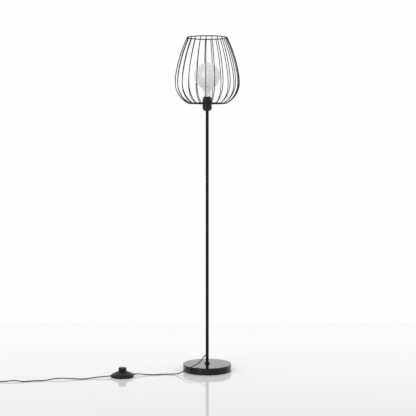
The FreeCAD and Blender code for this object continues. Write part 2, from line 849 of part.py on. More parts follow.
def bulb_cap():
    """Metal screw cap with its thread drawn as plain ridges, and the tip contact."""
    crest = "(bulb_cap_diameter / 2)"
    root = "(bulb_cap_diameter / 2 - bulb_thread_depth)"
    inside = "(bulb_cap_diameter / 2 - bulb_thread_depth - bulb_cap_wall)"
    corners = [
        ("0", BULB_BOTTOM),
        ("bulb_tip_diameter / 2", BULB_BOTTOM),
        ("bulb_tip_diameter / 2", f"{BULB_BOTTOM} + bulb_tip_height"),
        (root, f"{BULB_BOTTOM} + bulb_thread_start"),
    ]
    for turn in range(SIZES["bulb_thread_turns"]):
        start = f"{BULB_BOTTOM} + bulb_thread_start + {turn} * bulb_thread_pitch"
        corners.append((crest, f"{start} + bulb_thread_pitch / 2"))
        corners.append((root, f"{start} + bulb_thread_pitch"))
    corners += [
        (root, BULB_CAP_TOP),
        (inside, BULB_CAP_TOP),
        (inside, f"{BULB_BOTTOM} + bulb_cap_floor"),
        ("0", f"{BULB_BOTTOM} + bulb_cap_floor"),
    ]
    turned("bulb_cap", corners)


# ---------------------------------------------------------------- foot switch, in its own frame

def on_floor(thing, name):
    """Set a finished piece of the foot switch where the switch lies."""
    return node(place(thing, "switch_x", "switch_y", "0", turn="switch_turn"), name)


def around(place_radius, degrees):
    """The x and y of a place on a circle, as expressions."""
    return f"{place_radius} * cos({degrees} deg)", f"{place_radius} * sin({degrees} deg)"


def switch_cover():
    """Conical shell with a hole for the button, two for the lead, and posts for the screws."""
    hole = "(button_diameter / 2 + button_gap)"
    outer = "(switch_diameter / 2)"
    inner = "(switch_diameter / 2 - switch_wall)"
    shoulder = "(switch_shoulder_diameter / 2)"
    lip_bottom = "(switch_dome_height - switch_lip)"
    body = new_body("switch_cover")
    revolve(body, [
        (outer, "switch_cover_lift"),
        (outer, "switch_rim_height", "switch_shoulder_radius", "right"),
        (shoulder, "switch_shoulder_height"),
        (hole, "switch_dome_height"),
        (hole, lip_bottom),
        ("switch_seat_diameter / 2", lip_bottom),
        (f"{shoulder} - 0.4 * switch_wall", "switch_shoulder_height - 0.85 * switch_wall",
         "switch_shoulder_radius - switch_wall", "left"),
        (inner, "switch_rim_height - switch_wall / 4"),
        (inner, "switch_cover_lift"),
    ])
    posts = new_sketch(body, "posts", "XY_Plane", SWITCH_FLOOR)
    for degrees in SCREW_ANGLES:
        circle(posts, "post_diameter / 2", *around("post_place", degrees))
    pad(body, "post_pad", posts, "post_height")
    bores = new_sketch(body, "post_bores", "XY_Plane", SWITCH_FLOOR)
    for degrees in SCREW_ANGLES:
        circle(bores, "screw_diameter / 2", *around("post_place", degrees))
    pocket(body, "post_pocket", bores, "screw_length", reverse=True)
    exits = new_sketch(body, "lead_exits", "YZ_Plane")
    circle(exits, "relief_diameter / 2 + bush_clearance", y="switch_exit_height")
    pocket(body, "exit_pocket", exits, "1.2 * switch_diameter", symmetric=True)
    on_floor(body, "switch_cover")


def switch_plate():
    """Round floor plate with sunk holes for the screws."""
    body = new_body("switch_plate")
    disc = new_sketch(body, "disc", "XY_Plane", "switch_lift")
    circle(disc, "switch_diameter / 2 - switch_wall - switch_plate_gap")
    pad(body, "disc_pad", disc, "switch_plate_thickness")
    holes = new_sketch(body, "screw_holes", "XY_Plane", "switch_lift")
    heads = new_sketch(body, "head_holes", "XY_Plane", "switch_lift")
    for degrees in SCREW_ANGLES:
        circle(holes, "screw_diameter / 2 + screw_clearance", *around("post_place", degrees))
        circle(heads, "screw_head_diameter / 2 + screw_clearance", *around("post_place", degrees))
    pocket(body, "screw_pocket", holes, "switch_plate_thickness", reverse=True)
    pocket(body, "head_pocket", heads, "screw_head_height", reverse=True)
    on_floor(body, "switch_plate")


def switch_button():
    """Hollow foot button with a flange that stops it under the cover, and a boss for the spring."""
    side = "(button_diameter / 2)"
    flange = "button_flange_diameter / 2"
    flange_bottom = f"({FLANGE_TOP} - button_flange_thickness)"
    hollow_top = "(button_top - button_wall)"
    body = new_body("switch_button")
    revolve(body, [
        ("0", "button_top"),
        (f"{side} - button_round", "button_top", "button_round", "left"),
        (side, "button_top - button_round"),
        (side, FLANGE_TOP),
        (flange, FLANGE_TOP),
        (flange, flange_bottom),
        (side, flange_bottom),
        (side, "button_skirt_bottom"),
        (f"{side} - button_wall", "button_skirt_bottom"),
        (f"{side} - button_wall", hollow_top),
        ("button_boss_diameter / 2", hollow_top),
        ("button_boss_diameter / 2", "button_boss_bottom"),
        ("0", "button_boss_bottom"),
    ])
    on_floor(body, "switch_button")


def switch_spring():
    """Coil spring between the plate and the button's boss."""
    start = f"{SWITCH_FLOOR} + spring_wire / 2"
    body = new_body("switch_spring")
    section = new_sketch(body, "section", "XZ_Plane")
    circle(section, "spring_wire / 2", "spring_diameter / 2", start)
    coil = body.newObject("PartDesign::AdditiveHelix", "switch_spring_coil")
    coil.Profile = section
    coil.ReferenceAxis = (section, ["V_Axis"])
    coil.Mode = "height-turns-angle"
    end = "button_boss_bottom - spring_wire / 2 - moving_gap"
    bind(coil, Turns="spring_turns", Height=f"{end} - ({start})")
    on_floor(body, "switch_spring")


def switch_contacts():
    """Two screw terminals with the strips that lead to the contacts under the button."""
    pieces = []
    for side, sign in (("right", ""), ("left", "-")):
        terminal = block(f"terminal_{side}", "terminal_length", "terminal_width", "terminal_height",
                         f"{sign}terminal_place", SWITCH_FLOOR)
        strip = block(f"strip_{side}", "(terminal_place - strip_reach)", "strip_width", "strip_thickness",
                      f"{sign}(terminal_place + strip_reach) / 2", SWITCH_FLOOR)
        pieces.append(fuse(f"contact_{side}", terminal, strip))
    on_floor(group("switch_contact_group", pieces), "switch_contacts")


def switch_screws():
    """The screws that hold the plate to the cover's posts."""
    pieces = []
    for number, degrees in enumerate(SCREW_ANGLES, start=1):
        x, y = around("post_place", degrees)
        shank_bottom = "switch_lift + screw_head_height"
        shank_length = "switch_plate_thickness - screw_head_height + screw_length - moving_gap"
        head = cylinder(f"screw_head_{number}", "screw_head_diameter / 2", "screw_head_height",
                        x, y, "switch_lift")
        shank = cylinder(f"screw_shank_{number}", "screw_diameter / 2", shank_length, x, y, shank_bottom)
        pieces.append(fuse(f"screw_{number}", head, shank))
    on_floor(group("switch_screw_group", pieces), "switch_screws")


def switch_feet():
    """Rubber feet under the plate."""
    pieces = []
    for number, degrees in enumerate(FOOT_ANGLES, start=1):
        x, y = around("post_place", degrees)
        pieces.append(cylinder(f"foot_{number}", "foot_pad_diameter / 2", "switch_lift", x, y))
    on_floor(group("switch_feet_group", pieces), "switch_feet")


def switch_reliefs():
    """The two strain reliefs: a stem through the cover, a collar inside it and a tapered tail outside."""
    wall = "(switch_diameter / 2)"
    collar_start = f"({wall} - relief_collar_inset - relief_collar_width)"
    pieces = []
    for side, sign, turn in (("right", "", "90"), ("left", "-", "-90")):
        way = {"z": "switch_exit_height", "axis": (0, 1, 0), "turn": turn}
        stem = cylinder(f"relief_stem_{side}", "relief_diameter / 2", "relief_inside",
                        x=f"{sign}({wall} - relief_inside)", **way)
        collar = cylinder(f"relief_collar_{side}", "relief_collar_diameter / 2", "relief_collar_width",
                          x=f"{sign}{collar_start}", **way)
        tail = cone(f"relief_tail_{side}", "relief_diameter / 2", "relief_tail_diameter / 2",
                    "relief_outside", x=f"{sign}{wall}", **way)
        pieces.append(fuse(f"relief_{side}", stem, collar, tail))
    on_floor(group("switch_relief_group", pieces), "switch_reliefs")


# ---------------------------------------------------------------- plug: its tail at 0 and its pins to +X

PLUG_FACE = "(plug_relief_length + plug_length)"
COIL_END_RADIUS = "(coil_outer_radius + coil_pitch / 4)"


def by_coil(thing, name):
    """Set a finished piece of the plug at the end of the coil, with its pins towards +Y."""
    place(thing, f"coil_x - {COIL_END_RADIUS}", "coil_y + cord_diameter", COIL_TOP, turn="90")
    return node(thing, name)


def plug_body():
    """Flat two-pin plug with a tapered tail."""
    tail = "plug_relief_length"
    half = [
        (tail, "plug_tail_width / 2"),
        (f"{tail} + plug_length / 4", "plug_waist / 2"),
        (f"{PLUG_FACE} - 2 * plug_face_depth", "plug_waist / 2"),
        (f"{PLUG_FACE} - plug_face_depth", "plug_width / 2"),
        (PLUG_FACE, "plug_width / 2"),
    ]
    body = new_body("plug_block")
    sketch = new_sketch(body, "outline", "XY_Plane")
    outline(sketch, [(x, f"-{y}") for x, y in half] + half[::-1])
    block_pad = pad(body, "pad", sketch, "plug_thickness", symmetric=True)
    doc.recompute()
    edges = [
        f"Edge{number}" for number, edge in enumerate(block_pad.Shape.Edges, start=1)
        if edge.BoundBox.XMin < value(PLUG_FACE) - 0.01
    ]
    rounding = body.newObject("PartDesign::Fillet", "plug_rounding")
    rounding.Base = (block_pad, edges)
    bind(rounding, Radius="plug_edge_round")
    relief = cone("plug_relief", "plug_relief_tail / 2", "plug_relief_diameter / 2",
                  "plug_relief_length + plug_edge_round", axis=(0, 1, 0), turn="90")
    by_coil(fuse("plug_with_relief", body, relief), "plug_body")


def plug_pins():
    """The two round contact pins."""
    pieces = []
    for side, sign in (("right", "-"), ("left", "")):
        y = f"{sign}pin_spacing / 2"
        shank = cylinder(f"pin_shank_{side}", "pin_diameter / 2", "pin_length - pin_diameter / 2",
                         x=PLUG_FACE, y=y, axis=(0, 1, 0), turn="90")
        tip = doc.addObject("Part::Sphere", f"pin_tip_{side}")
        bind(tip, Radius="pin_diameter / 2")
        place(tip, f"{PLUG_FACE} + pin_length - pin_diameter / 2", y)
        pieces.append(fuse(f"pin_{side}", shank, tip))
    by_coil(group("plug_pin_group", pieces), "plug_pins")


# ---------------------------------------------------------------- lead

def swept(edges, diameter):
    """A round tube along edges that run into each other."""
    path = Part.Wire(edges)
    start = edges[0]
    away = start.tangentAt(start.FirstParameter)
    section = Part.Wire([Part.makeCircle(diameter / 2, start.valueAt(start.FirstParameter), away)])
    tube = path.makePipeShell([section], True, False)
    expected = math.pi * diameter ** 2 / 4 * path.Length
    if not abs(tube.Volume / expected - 1) < 0.01:
        raise RuntimeError(f"tube volume {tube.Volume:.0f}, section times length {expected:.0f}")
    return tube, path.Length


def runs_and_arcs(points):
    """Straight runs between points, joined by arcs as large as the runs allow, and the arcs' radii."""
    edges = []
    radii = []
    reached = points[0]
    for before, corner, after in zip(points, points[1:], points[2:]):
        back = (before - corner).normalize()
        ahead = (after - corner).normalize()
        half_turn = (math.pi - back.getAngle(ahead)) / 2
        shorter = min((before - corner).Length, (after - corner).Length)
        trim = BEND_SHARE * shorter
        radius = trim / math.tan(half_turn)
        centre = corner + (back + ahead).normalize() * (radius / math.cos(half_turn))
        middle = centre + (corner - centre).normalize() * radius
        start = corner + back * trim
        end = corner + ahead * trim
        edges.append(Part.LineSegment(reached, start).toShape())
        edges.append(Part.Arc(start, middle, end).toShape())
        radii.append(radius)
        reached = end
    edges.append(Part.LineSegment(reached, points[-1]).toShape())
    return edges, radii


def shaped(name, shape):
    """A sub-part whose shape comes from the lead's route."""
    thing = doc.addObject("Part::Feature", name)
    thing.Shape = shape
    return node(thing, name)


def free_cord(name, points):
    edges, radii = runs_and_arcs(points)
    tube, length = swept(edges, value("cord_diameter"))
    print(f"{name}: {length:.0f} mm long, arc radii {', '.join(f'{radius:.0f}' for radius in radii)}")
    shaped(name, tube)


def relief_line(side, distance):
    """A point on the axis of a switch strain relief, so far out from the relief's end."""
    turn = math.radians(value("switch_turn"))
    reach = side * (value("switch_diameter / 2 + relief_outside") + distance)
    along = Vector(math.cos(turn), math.sin(turn), 0) * reach
    return Vector(value("switch_x"), value("switch_y"), value("switch_exit_height")) + along


def exit_line(distance):
    """A point on the axis of the hole in the pole, so far out from the bush's face."""
    turn = math.radians(value("cord_exit_turn"))
    out = Vector(-math.cos(turn), -math.sin(turn), 0)
    return out * (value(BUSH_FACE) + distance) + Vector(0, 0, value("cord_exit_height"))


def cord_in_pole():
    """The stretch that the lamp holds: through the bush, round into the pole and up to the lampholder."""
    bend = value("cord_bend_radius")
    height = value("cord_exit_height")
    outside = exit_line(0)
    out = Vector(outside.x, outside.y, 0).normalize()
    turn_start = out * bend + Vector(0, 0, height)
    turn_end = Vector(0, 0, height + bend)
    turn_centre = turn_start + Vector(0, 0, bend)
    turn_middle = turn_centre - (out + Vector(0, 0, 1)).normalize() * bend
    top = spot("0", "0", f"{SHELL_BOTTOM} - core_height - moving_gap")
    tube, length = swept([
        Part.LineSegment(outside, turn_start).toShape(),
        Part.Arc(turn_start, turn_middle, turn_end).toShape(),
        Part.LineSegment(turn_end, top).toShape(),
    ], value("cord_diameter"))
    print(f"cord_in_pole: {length:.0f} mm long")
    shaped("cord_in_pole", tube)


def cord_to_switch():
    """The free stretch from the pole, over the base's rim and along the floor to the foot switch."""
    starts = [exit_line(0), exit_line(POLE_RUN)]
    ends = [relief_line(1, RELIEF_RUN), relief_line(1, 0)]
    free_cord("cord_to_switch", starts + [Vector(*point) for point in TO_SWITCH_ROUTE] + ends)


def coil_start():
    return spot("coil_x + cord_diameter", "coil_y - coil_outer_radius", "coil_height")


def cord_to_plug():
    """The free stretch from the foot switch along the floor to the coil."""
    starts = [relief_line(-1, 0), relief_line(-1, RELIEF_RUN)]
    ends = [coil_start() + Vector(COIL_RUN, 0, 0), coil_start()]
    free_cord("cord_to_plug", starts + [Vector(*point) for point in TO_PLUG_ROUTE] + ends)


def coil_radius(turns):
    """Two layers of turns: the radius shrinks, turns back over half a turn, and grows again."""
    pitch = value("coil_pitch")
    middle = value("coil_turns_a_layer")
    from_middle = abs(turns - middle)
    if from_middle < 0.25:
        shrink = middle - 0.125 - 2 * from_middle ** 2
    else:
        shrink = middle - from_middle
    return value("coil_outer_radius") - pitch * shrink


def coil_point(turns):
    """A point of the coil, clockwise from its front. It climbs a layer in the half turn in the middle."""
    rise = min(max((turns - value("coil_turns_a_layer")) * 2 + 0.5, 0), 1)
    height = value("coil_height") + value("coil_pitch") * rise ** 2 * (3 - 2 * rise)
    angle = -math.pi / 2 - 2 * math.pi * turns
    out = Vector(math.cos(angle), math.sin(angle), 0) * coil_radius(turns)
    return Vector(value("coil_x"), value("coil_y"), height) + out


def coil_way(turns):
    """The direction of the coil at a point."""
    step = 0.001
    return (coil_point(turns + step) - coil_point(turns - step)).normalize()


def biarc(start, start_way, end, end_way):
    """Two arcs from start to end that run into each other and keep both directions."""
    chord = end - start
    ways = start_way + end_way
    spare = 2 * (1 - start_way.dot(end_way))
    reach = (math.sqrt(chord.dot(ways) ** 2 + spare * chord.dot(chord)) - chord.dot(ways)) / spare
    first_corner = start + start_way * reach
    last_corner = end - end_way * reach
    joint = (first_corner + last_corner) / 2
    return [arc_round(start, first_corner, joint), arc_round(joint, last_corner, end)]


def arc_round(start, corner, end):
    """The arc that leaves start and reaches end along the two equal sides that meet at corner."""
    chord_middle = (start + end) / 2
    half_chord = (end - start).Length / 2
    side = (corner - start).Length
    rise = (corner - chord_middle).Length
    bulge = half_chord * (side - half_chord) / rise
    middle = chord_middle + (corner - chord_middle).normalize() * bulge
    return Part.Arc(start, middle, end).toShape()


def coil_gap(diameter, turns):
    """The least gap between one turn of the coil and another, measured on points."""
    steps = 72
    points = [coil_point(number / steps) for number in range(int(turns * steps) + 1)]
    gap = min(
        (points[first] - points[second]).Length
        for first in range(len(points)) for second in range(first + steps // 2, len(points))
    )
    return gap - diameter


def cord_coil():
    """The put-away length: two layers of turns, wound as one tube, that end towards the plug."""
    diameter = value("cord_diameter")
    turns = 2 * value("coil_turns_a_layer") + 0.25
    quarters = round(turns * 4)
    points = [coil_point(number / 4) for number in range(quarters + 1)]
    ways = [coil_way(number / 4) for number in range(quarters + 1)]
    ways[0] = Vector(-1, 0, 0)
    ways[-1] = Vector(0, 1, 0)
    edges = [Part.LineSegment(coil_start(), points[0]).toShape()]
    for number in range(quarters):
        edges += biarc(points[number], ways[number], points[number + 1], ways[number + 1])
    edges.append(Part.LineSegment(points[-1], points[-1] + ways[-1] * diameter).toShape())
    tube, length = swept(edges, diameter)
    print(f"cord_coil: {length:.0f} mm long, least gap {coil_gap(diameter, turns):.2f} mm")
    shaped("cord_coil", tube)


def cord_tie():
    """Band round the coil's bundle of turns."""
    inner_round = "(cord_diameter / 2 + tie_gap)"
    outer_round = f"({inner_round} + tie_thickness)"
    outermost = "(coil_x + coil_outer_radius - coil_pitch / 4 * 3)"
    innermost = f"({outermost} - coil_pitch * (coil_turns_a_layer - 1))"
    near = f"({innermost} - {inner_round})"
    far = f"({outermost} + coil_pitch / 2 + {inner_round})"
    bottom = f"(coil_height - {inner_round})"
    top = f"({COIL_TOP} + {inner_round})"
    body = new_body("cord_tie")
    sketch = new_sketch(body, "band", "XZ_Plane", "-coil_y")
    rounded_box(sketch, near, far, bottom, top, inner_round)
    rounded_box(sketch, f"({near} - tie_thickness)", f"({far} + tie_thickness)",
                f"({bottom} - tie_thickness)", f"({top} + tie_thickness)", outer_round)
    pad(body, "band_pad", sketch, "tie_width", symmetric=True)
    node(body, "cord_tie")


# ---------------------------------------------------------------- the whole lamp

def build():
    base_cover()
    base_weight()
    base_pad()
    base_fasteners()
    pole_collar()
    pole()
    tube_inserts()
    cord_bush()
    holder_nipple()
    holder_cap()
    holder_core()
    holder_contacts()
    screw_shell()
    holder_shell()
    shade_ring()
    cage_ring("cage_top_ring", "cage_top_diameter", TOP_RING)
    cage_ring("cage_bottom_ring", "cage_bottom_diameter", BOTTOM_RING)
    cage_carrier()
    for number in range(SIZES["rib_count"]):
        rib(number)
    bulb_globe()
    bulb_cap()
    switch_cover()
    switch_plate()
    switch_button()
    switch_spring()
    switch_contacts()
    switch_screws()
    switch_feet()
    switch_reliefs()
    plug_body()
    plug_pins()
    cord_in_pole()
    cord_to_switch()
    cord_to_plug()
    cord_coil()
    cord_tie()


def check():
    """Stop if anything in the document failed, or a sub-part's shape is empty or broken."""
    failed = [thing.Name for thing in doc.Objects if "Invalid" in thing.State or "Error" in thing.State]
    broken = [thing.Label for thing in nodes if thing.Shape.isNull() or not thing.Shape.isValid()]
    if failed or broken:
        raise RuntimeError(f"failed: {failed}, broken: {broken}")


build()
doc.recompute()
check()
os.makedirs("parts", exist_ok=True)
for finished in nodes:
    finished.Shape.exportStep(f"parts/{finished.Label}.step")
print(f"{len(nodes)} sub-parts written")
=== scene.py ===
"""The looks of the wire cage floor lamp: surfaces, lead, small trim, floor, light and camera.

Metres, +Z up, in the frame's own coordinates.
"""
import math

import bmesh
import bpy
from mathutils import Matrix, Vector


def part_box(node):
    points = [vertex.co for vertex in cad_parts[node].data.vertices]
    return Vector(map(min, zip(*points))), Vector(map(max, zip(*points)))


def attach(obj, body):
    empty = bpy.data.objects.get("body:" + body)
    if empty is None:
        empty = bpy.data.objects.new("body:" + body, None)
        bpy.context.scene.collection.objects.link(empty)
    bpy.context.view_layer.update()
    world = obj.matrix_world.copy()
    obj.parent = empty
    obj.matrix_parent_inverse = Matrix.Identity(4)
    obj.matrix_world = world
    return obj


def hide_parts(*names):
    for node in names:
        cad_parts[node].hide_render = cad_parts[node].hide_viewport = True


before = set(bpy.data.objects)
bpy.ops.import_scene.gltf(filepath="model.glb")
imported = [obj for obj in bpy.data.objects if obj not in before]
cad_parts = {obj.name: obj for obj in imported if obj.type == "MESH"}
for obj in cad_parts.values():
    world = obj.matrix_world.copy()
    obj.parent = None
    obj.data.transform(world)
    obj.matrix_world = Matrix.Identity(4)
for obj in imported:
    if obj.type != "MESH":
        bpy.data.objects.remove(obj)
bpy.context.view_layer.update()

MM = 0.001

# The photograph's camera.
PHOTO_SIDE = 416
SENSOR = 36.0
FOCAL_PIXELS = 1081.5
CAMERA_PLACE = Vector((0.0036, -4.85, 1.063))
CAMERA_PITCH = math.radians(3.832)
CLIP_NEAR = 0.05
CLIP_FAR = 60

# The lead: its hole in the pole, its two routes, the foot switch between them, and its coil.
CORD_DIAMETER = 4.4 * MM
CORD_ROUNDNESS = 5
CORD_STEPS = 8
EXIT_TURN = math.radians(50)
EXIT_HEIGHT = 69 * MM
EXIT_REACH = 8.6 * MM
POLE_RUN = 7 * MM
TO_SWITCH_ROUTE = [
    (-0.0154, -0.0184, 0.066),
    (-0.0212, -0.0253, 0.0585),
    (-0.0285, -0.035, 0.05),
    (-0.038, -0.048, 0.043),
    (-0.0495, -0.065, 0.0385),
    (-0.062, -0.084, 0.038),
    (-0.078, -0.103, 0.0335),
    (-0.097, -0.112, 0.0245),
    (-0.117, -0.109, 0.012),
    (-0.137, -0.094, 0.0038),
    (-0.164, -0.09, 0.0025),
    (-0.2, -0.094, 0.0025),
    (-0.232, -0.105, 0.0025),
    (-0.26, -0.103, 0.0027),
    (-0.283, -0.106, 0.0052),
]
TO_PLUG_ROUTE = [
    (-0.474, -0.163, 0.006),
    (-0.501, -0.171, 0.0045),
    (-0.527, -0.185, 0.003),
    (-0.556, -0.19, 0.0025),
    (-0.592, -0.19, 0.005),
    (-0.631, -0.194, 0.008),
    (-0.669, -0.2, 0.0065),
    (-0.708, -0.22, 0.0025),
    (-0.756, -0.221, 0.0025),
    (-0.794, -0.242, 0.0025),
    (-0.833, -0.229, 0.0065),
    (-0.869, -0.244, 0.0045),
    (-0.904, -0.24, 0.0026),
]
SWITCH_CENTRE = Vector((-0.374, -0.134, 0))
SWITCH_TURN = math.radians(20)
SWITCH_EXIT_HEIGHT = 8 * MM
SWITCH_REACH = 60 * MM
RELIEF_RUN = 16 * MM
COIL_CENTRE = Vector((-0.966, -0.214, 0))
COIL_RADIUS = 33 * MM
COIL_PITCH = 5 * MM
COIL_HEIGHT = 3.2 * MM
COIL_LAYER_TURNS = 3
COIL_EASE = 0.25  # of a turn, before and after the middle, for the way back
COIL_TURNS = 2 * COIL_LAYER_TURNS + 0.25
COIL_POINTS_A_TURN = 24
COIL_RUN = 24 * MM


# ---------------------------------------------------------------- camera

def make_camera():
    data = bpy.data.cameras.new("photo_camera")
    data.sensor_width = SENSOR
    data.lens = FOCAL_PIXELS / PHOTO_SIDE * SENSOR
    data.clip_start = CLIP_NEAR
    data.clip_end = CLIP_FAR
    camera = bpy.data.objects.new("photo_camera", data)
    bpy.context.scene.collection.objects.link(camera)
    camera.location = CAMERA_PLACE
    camera.rotation_euler = (math.pi / 2 - CAMERA_PITCH, 0, 0)
    bpy.context.scene.camera = camera


# ---------------------------------------------------------------- the lead

def cord_curve(name, points):
    """A round cord along one smooth spline whose control points these are."""
    data = bpy.data.curves.new(name, "CURVE")
    data.dimensions = "3D"
    data.bevel_depth = 1.0  # times each point's radius
    data.bevel_resolution = CORD_ROUNDNESS
    data.resolution_u = CORD_STEPS
    spline = data.splines.new("NURBS")
    spline.points.add(len(points) - 1)
    for point, place in zip(spline.points, points):
        point.co = (*place, 1)
        point.radius = CORD_DIAMETER / 2
    spline.order_u = 3
    spline.use_endpoint_u = True
    curve = bpy.data.objects.new(name, data)
    bpy.context.scene.collection.objects.link(curve)
    return curve


def exit_line(distance):
    """A point on the axis of the hole in the pole, so far out from the bush's face."""
    out = Vector((-math.cos(EXIT_TURN), -math.sin(EXIT_TURN), 0))
    return out * (EXIT_REACH + distance) + Vector((0, 0, EXIT_HEIGHT))


def relief_line(side, distance):
    """A point on the axis of a switch strain relief, so far out from the relief's end."""
    along = Vector((math.cos(SWITCH_TURN), math.sin(SWITCH_TURN), 0))
    height = Vector((0, 0, SWITCH_EXIT_HEIGHT))
    return SWITCH_CENTRE + along * side * (SWITCH_REACH + distance) + height


def coil_radius(turns):
    """Two layers of turns: the radius shrinks, turns back over half a turn, and grows again."""
    from_middle = abs(turns - COIL_LAYER_TURNS)
    if from_middle < COIL_EASE:
        shrink = COIL_LAYER_TURNS - COIL_EASE / 2 - from_middle ** 2 / (2 * COIL_EASE)
    else:
        shrink = COIL_LAYER_TURNS - from_middle
    return COIL_RADIUS - COIL_PITCH * shrink


def coil_point(turns):
    """A point of the coil, clockwise from its front. It climbs a layer in the half turn in the middle."""
    rise = min(max((turns - COIL_LAYER_TURNS) / (2 * COIL_EASE) + 0.5, 0), 1)
    height = COIL_HEIGHT + COIL_PITCH * rise ** 2 * (3 - 2 * rise)
    angle = -math.pi / 2 - 2 * math.pi * turns
    out = Vector((math.cos(angle), math.sin(angle), 0)) * coil_radius(turns)
    return COIL_CENTRE + out + Vector((0, 0, height))


def coil_start():
    return COIL_CENTRE + Vector((CORD_DIAMETER, -COIL_RADIUS, COIL_HEIGHT))


def make_cords():
    """The lead's two free lengths, each one spline from where it leaves to what is on its end."""
    first = [exit_line(0), exit_line(POLE_RUN)] + TO_SWITCH_ROUTE
    first += [relief_line(1, RELIEF_RUN), relief_line(1, 0)]
    to_switch = cord_curve("lead_to_switch", first)
    second = [relief_line(-1, 0), relief_line(-1, RELIEF_RUN)] + TO_PLUG_ROUTE
    second += [coil_start() + Vector((COIL_RUN, 0, 0)), coil_start()]
    steps = round(COIL_TURNS * COIL_POINTS_A_TURN)
    second += [coil_point(number / COIL_POINTS_A_TURN) for number in range(steps + 1)]
    second.append(coil_point(COIL_TURNS) + Vector((0, CORD_DIAMETER, 0)))
    to_plug = cord_curve("lead_to_plug", second)
    return to_switch, to_plug


# ---------------------------------------------------------------- small trim

RIB_COUNT = 23
RIB_START = math.radians(-92.6)
RING_WIRE = 4.4 * MM
WELD_SIZE = Vector((2.5, 2.5, 1.9)) * MM
WELD_OUT = 0.4 * MM
WELD_RISE = 1.2 * MM
WELD_ROUNDNESS = 2


def mesh_piece(name, mesh, body):
    piece = bpy.data.objects.new(name, mesh)
    bpy.context.scene.collection.objects.link(piece)
    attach(piece, body)
    return piece


def ring_radius(node):
    low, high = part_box(node)
    return (high.x - low.x) / 2 - RING_WIRE / 2


def weld_places():
    """Where each wire meets each ring, a little to the wire's side, and the angle around the pole."""
    for node, side in (("cage_top_ring", -1), ("cage_bottom_ring", 1)):
        low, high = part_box(node)
        radius = ring_radius(node) + side * WELD_OUT
        height = Vector((0, 0, (low.z + high.z) / 2 + side * WELD_RISE))
        for number in range(RIB_COUNT):
            angle = RIB_START + 2 * math.pi * number / RIB_COUNT
            out = Vector((math.cos(angle), math.sin(angle), 0))
            yield angle, out * radius + height


def cage_welds():
    """The small melted beads where the wires join the rings."""
    made = bmesh.new()
    size = Matrix.Diagonal((*WELD_SIZE, 1))
    for angle, place in weld_places():
        turn = Matrix.Rotation(angle, 4, "Z")
        bmesh.ops.create_icosphere(made, subdivisions=WELD_ROUNDNESS, radius=1,
                                   matrix=Matrix.Translation(place) @ turn @ size)
    mesh = bpy.data.meshes.new("cage_welds")
    made.to_mesh(mesh)
    made.free()
    mesh.shade_smooth()
    welds = mesh_piece("cage_welds", mesh, "lamp")


def turned_mesh(name, profile, segments=48):
    """A closed shape turned about the X axis from points of distance along it and radius."""
    made = bmesh.new()
    rings = []
    for along, radius in profile:
        if radius == 0:
            rings.append([made.verts.new((along, 0, 0))])
            continue
        turns = [2 * math.pi * number / segments for number in range(segments)]
        rings.append([
            made.verts.new((along, radius * math.cos(turn), radius * math.sin(turn))) for turn in turns
        ])
    for first, last in zip(rings, rings[1:]):
        for number in range(segments):
            after = (number + 1) % segments
            corners = [first[number % len(first)], first[after % len(first)],
                       last[after % len(last)], last[number % len(last)]]
            made.faces.new(list(dict.fromkeys(corners)))
    bmesh.ops.recalc_face_normals(made, faces=made.faces)
    mesh = bpy.data.meshes.new(name)
    made.to_mesh(mesh)
    made.free()
    mesh.shade_smooth()
    return mesh


# A strain relief: distances from the middle of the foot switch, and radii.
RELIEF_START = 38 * MM
RELIEF_COLLAR_WIDTH = 4 * MM
RELIEF_WALL = 50 * MM
RELIEF_END = SWITCH_REACH - 0.1 * MM
RELIEF_COLLAR = 4.4 * MM
RELIEF_STEM = 3.7 * MM
RELIEF_TAIL = 2.7 * MM
RELIEF_TIP = RELIEF_TAIL - 0.5 * MM
RELIEF_RIBS = 4
# The points of one rib: its share of the rib's length, and its depth below the rib's radius.
RELIEF_RIB_POINTS = ((0.10, 0.45 * MM), (0.28, 0.45 * MM), (0.38, 0.0), (0.90, 0.1 * MM))


def relief_profile():
    """A strain relief: collar and stem inside the cover, then a tapered tail with grooves."""
    collar_end = RELIEF_START + RELIEF_COLLAR_WIDTH
    profile = [
        (RELIEF_START, 0), (RELIEF_START, RELIEF_COLLAR), (collar_end, RELIEF_COLLAR),
        (collar_end, RELIEF_STEM), (RELIEF_WALL, RELIEF_STEM),
    ]
    step = (SWITCH_REACH - RELIEF_WALL) / RELIEF_RIBS
    for number in range(RELIEF_RIBS):
        start = RELIEF_WALL + number * step
        radius = RELIEF_STEM + (RELIEF_TAIL - RELIEF_STEM) * (number + 0.5) / RELIEF_RIBS
        profile += [(start + share * step, radius - depth) for share, depth in RELIEF_RIB_POINTS]
    profile += [(RELIEF_END, RELIEF_TIP), (RELIEF_END, 0)]
    return profile


def relief_boot(name, turn):
    """One ribbed strain relief of the foot switch, on the side that it is turned to."""
    mesh = turned_mesh(name, relief_profile())
    mesh.transform(Matrix.Translation(SWITCH_CENTRE + Vector((0, 0, SWITCH_EXIT_HEIGHT)))
                   @ Matrix.Rotation(turn, 4, "Z"))
    piece = mesh_piece(name, mesh, "lamp")
    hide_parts("switch_reliefs")
    return piece


# ---------------------------------------------------------------- materials

